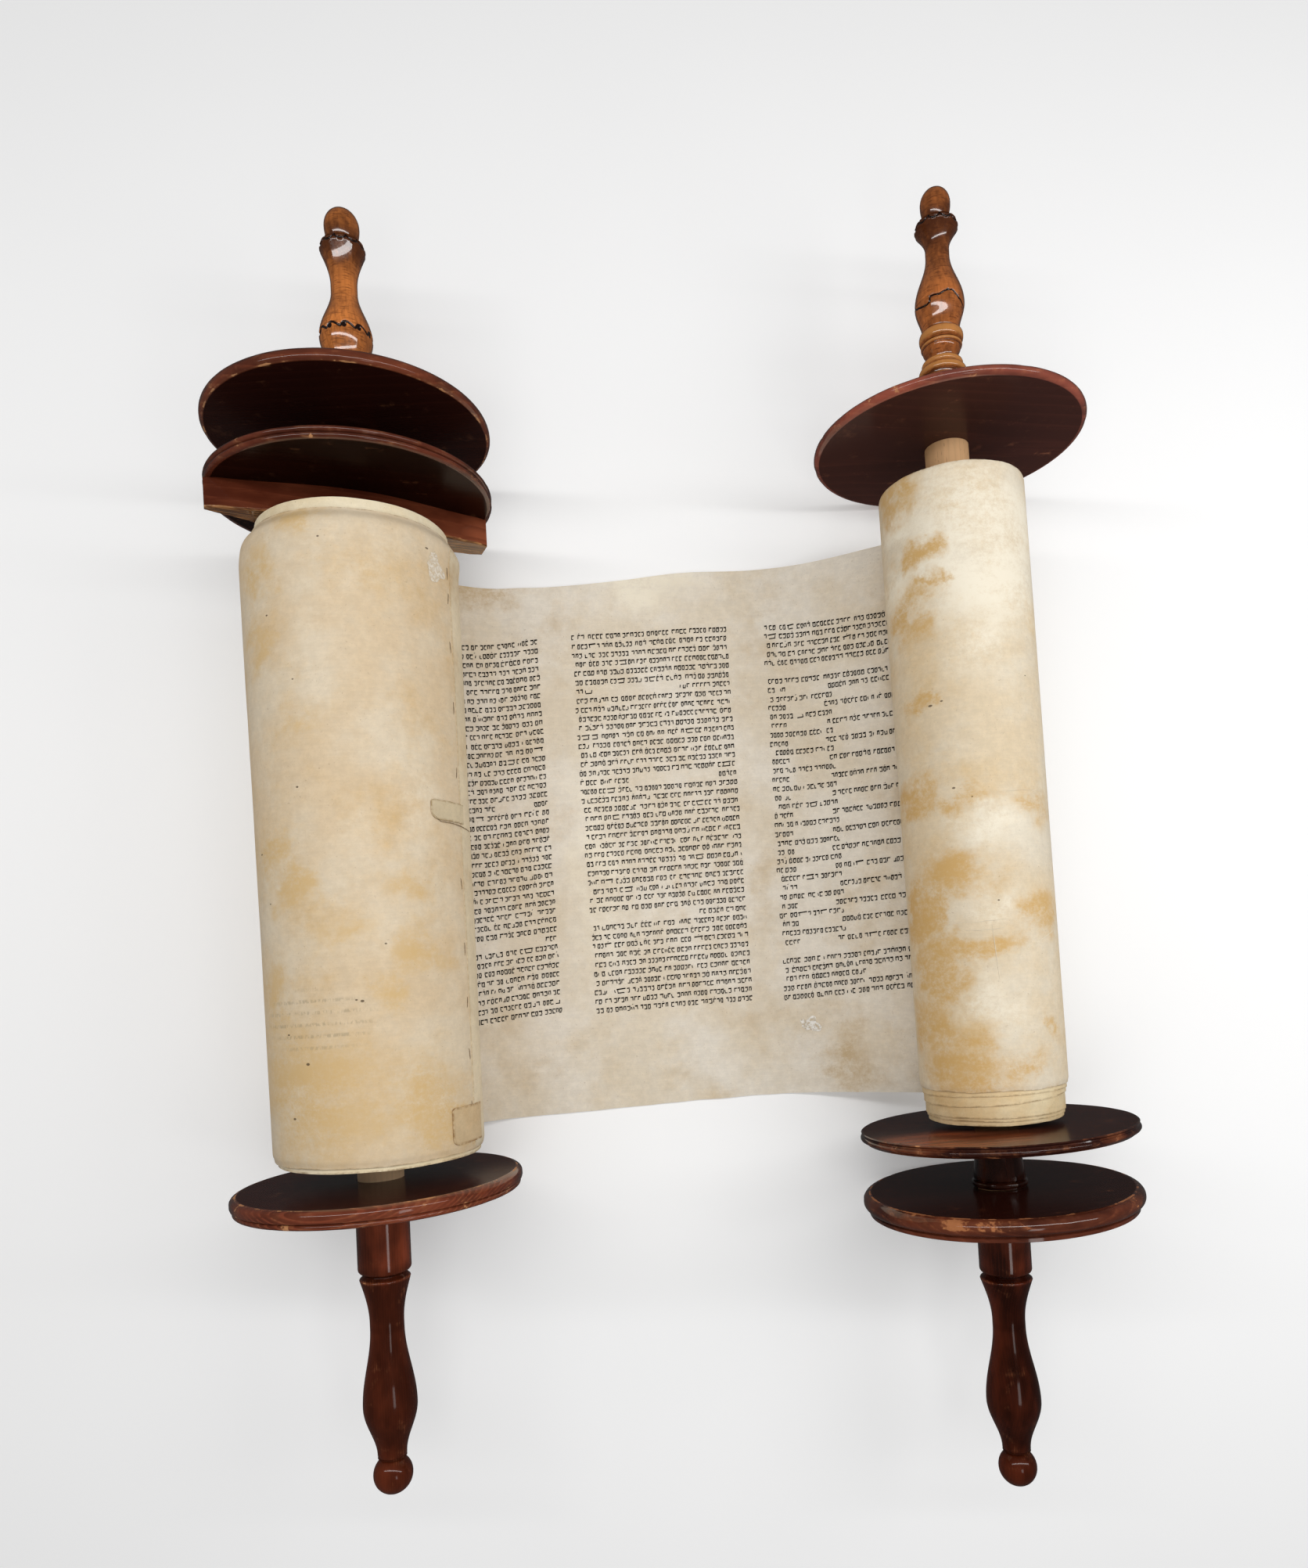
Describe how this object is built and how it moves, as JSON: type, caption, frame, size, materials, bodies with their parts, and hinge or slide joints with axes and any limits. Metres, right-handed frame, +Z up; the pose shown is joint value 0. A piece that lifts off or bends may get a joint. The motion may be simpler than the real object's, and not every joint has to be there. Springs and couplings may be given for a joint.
{
  "type": "torah scroll",
  "caption": "Open scroll lying face up: parchment wound on two rollers with varnished discs and turned handles, the written stretch flat between them",
  "frame": {"origin": "on the table, under the middle of the overall box", "axes": "X runs across the rollers from the left roll to the right roll, Y runs along the rollers towards the upper handles, Z is up, out of the written side"},
  "size_m": [0.7112, 1.0616, 0.218],
  "materials": {
    "dark_wood": "glossy varnish, worn at the edges",
    "red_wood": "glossy varnish, worn at the edges",
    "amber_wood": "glossy varnish",
    "raw_wood": "bare wood",
    "parchment": "smooth matt parchment"
  },
  "bodies": {
    "root": {"left_rod": "raw_wood", "left_upper_outer_disc": "dark_wood", "left_upper_inner_disc": "dark_wood", "left_upper_spool": "dark_wood", "left_batten": "red_wood", "left_upper_handle": "amber_wood", "left_lower_disc": "red_wood", "left_lower_handle": "red_wood", "right_rod": "raw_wood", "right_upper_disc": "red_wood", "right_upper_handle": "amber_wood", "right_lower_inner_disc": "dark_wood", "right_lower_spool": "dark_wood", "right_lower_outer_disc": "red_wood", "right_lower_handle": "red_wood", "parchment": "parchment"}
  },
  "joints": []
}
